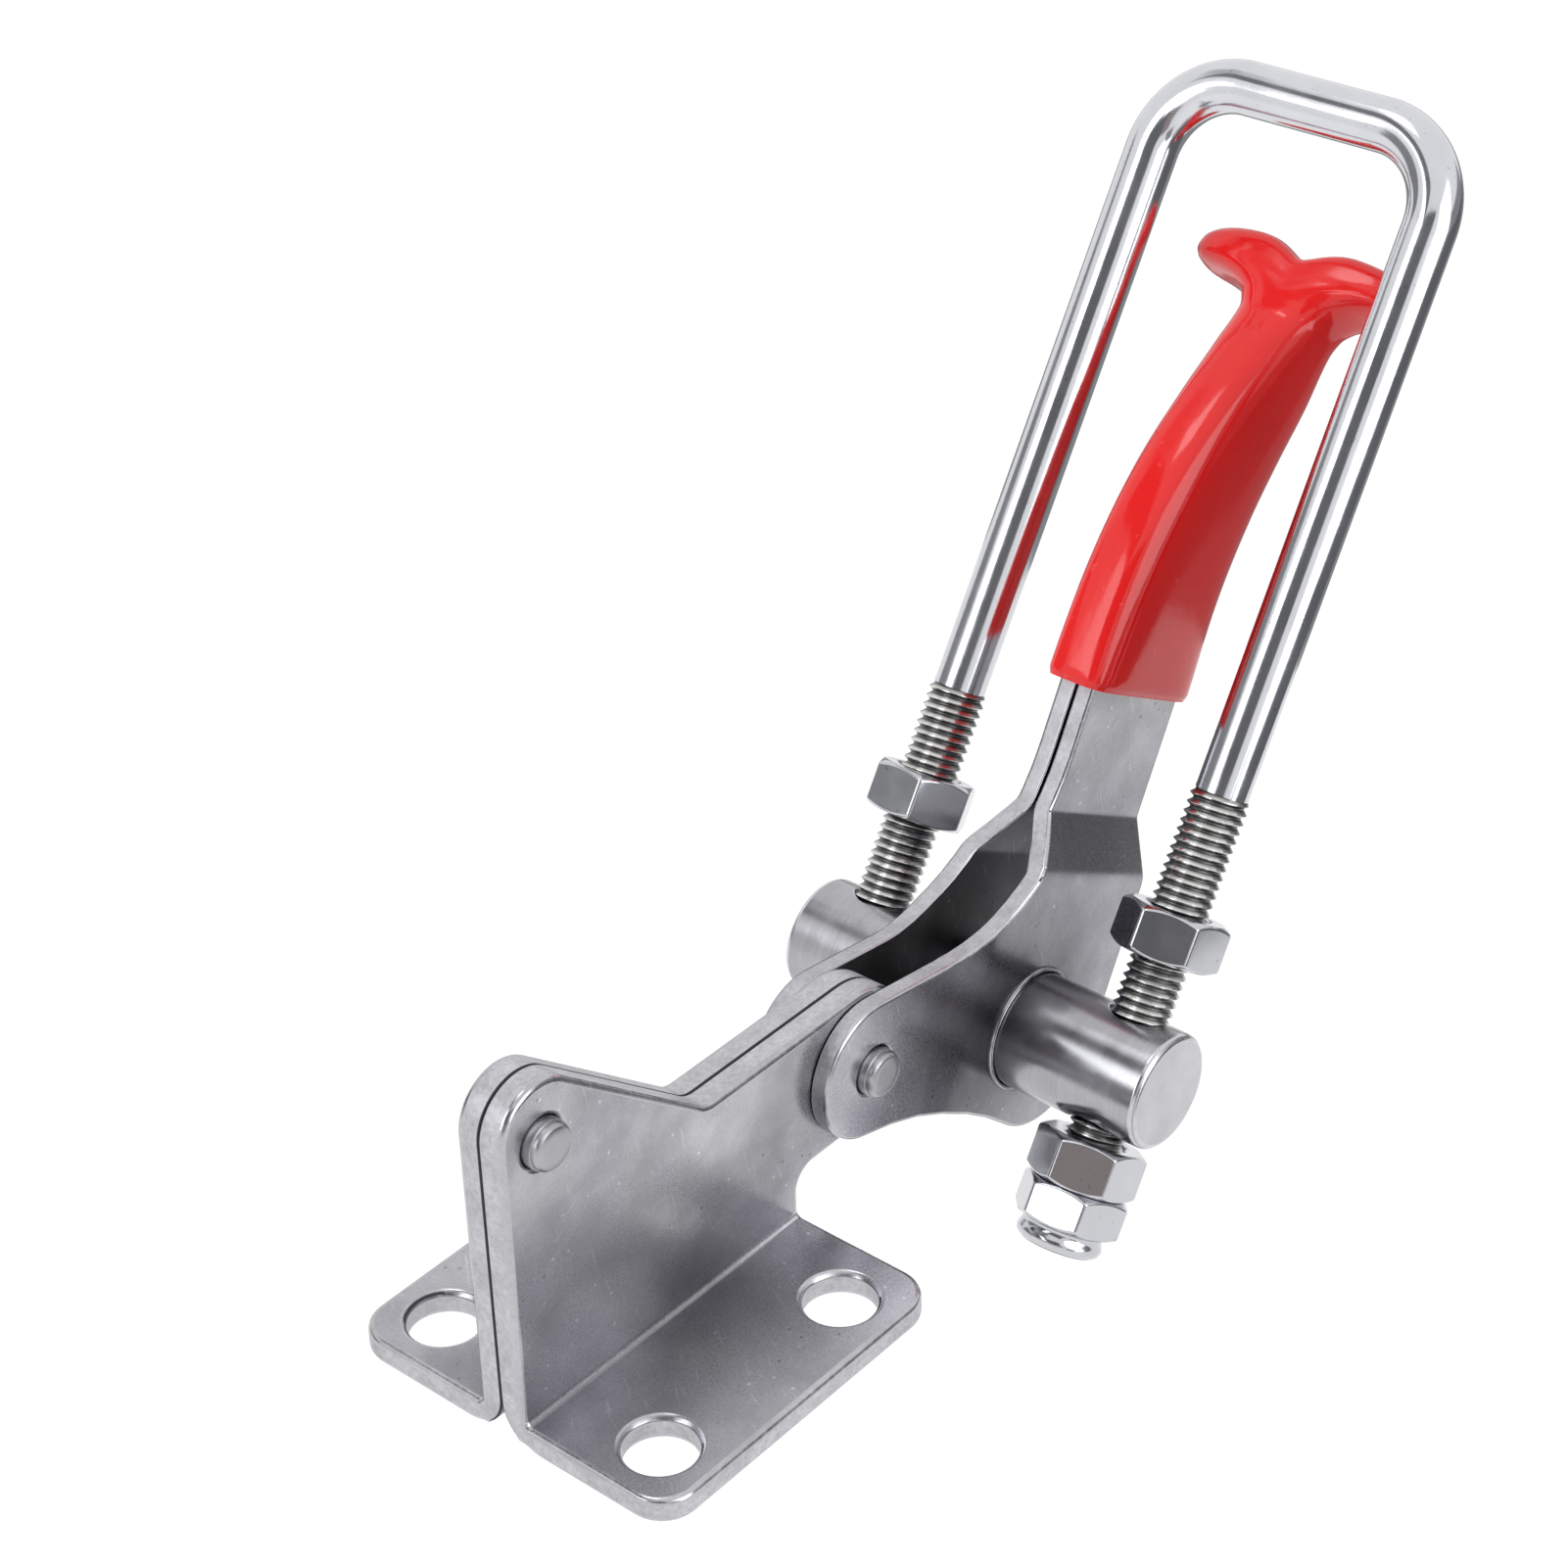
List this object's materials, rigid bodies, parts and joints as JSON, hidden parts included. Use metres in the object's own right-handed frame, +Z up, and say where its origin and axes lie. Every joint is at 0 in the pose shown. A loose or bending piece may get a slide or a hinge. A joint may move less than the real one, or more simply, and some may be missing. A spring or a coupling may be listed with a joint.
{
  "type": "toggle clamp",
  "caption": "Latch-type toggle clamp with an adjustable U-bolt hook: flanged base brackets, a pivoting handle with a red T grip, and a cross trunnion that carries the hook's threaded legs.",
  "frame": {"origin": "centre of the four mounting holes, on the underside of the base", "axes": "+X from the heel towards the handle, +Y to the left side, +Z up out of the surface the base is bolted to"},
  "size_m": [0.1658, 0.0578, 0.1311],
  "materials": {
    "bracket_steel": "satin pickled stainless sheet, slightly pitted, with bright rolled edges",
    "rivet_steel": "satin turned stainless",
    "plate_steel": "satin stainless sheet, darker at the bends",
    "vinyl": "glossy dipped vinyl",
    "turned_steel": "turned stainless, fine scratches",
    "rod_steel": "polished stainless rod",
    "nut_steel": "bright stainless",
    "nylon": "milky nylon"
  },
  "bodies": {
    "base": {"base_bracket_right": "bracket_steel", "base_bracket_left": "bracket_steel", "heel_rivet": "rivet_steel", "pivot_rivet": "rivet_steel"},
    "handle": {"handle_plate_right": "plate_steel", "handle_plate_left": "plate_steel", "grip": "vinyl"},
    "trunnion": {"trunnion": "turned_steel"},
    "hook": {"u_bolt": "rod_steel", "upper_nut_right": "nut_steel", "upper_nut_left": "nut_steel", "lower_nut_right": "nut_steel", "lower_nut_left": "nut_steel", "lock_nut_right": "nut_steel", "lock_nut_left": "nut_steel", "nylon_ring_right": "nylon", "nylon_ring_left": "nylon"}
  },
  "joints": [
    {"name": "handle_pivot", "type": "hinge", "parent": "base", "child": "handle", "pos_m": [0.03725, 0, 0.02], "axis": [0, 1, 0], "range_deg": [-110, 70]},
    {"name": "hook_swing", "type": "hinge", "parent": "handle", "child": "trunnion", "pos_m": [0.06863, 0, 0.00827], "axis": [0, 1, 0], "range_deg": [-115, 100]},
    {"name": "hook_play", "type": "slide", "parent": "trunnion", "child": "hook", "axis": [0.5446, 0, 0.8387], "range_m": [-0.0075, 0.0013]}
  ]
}
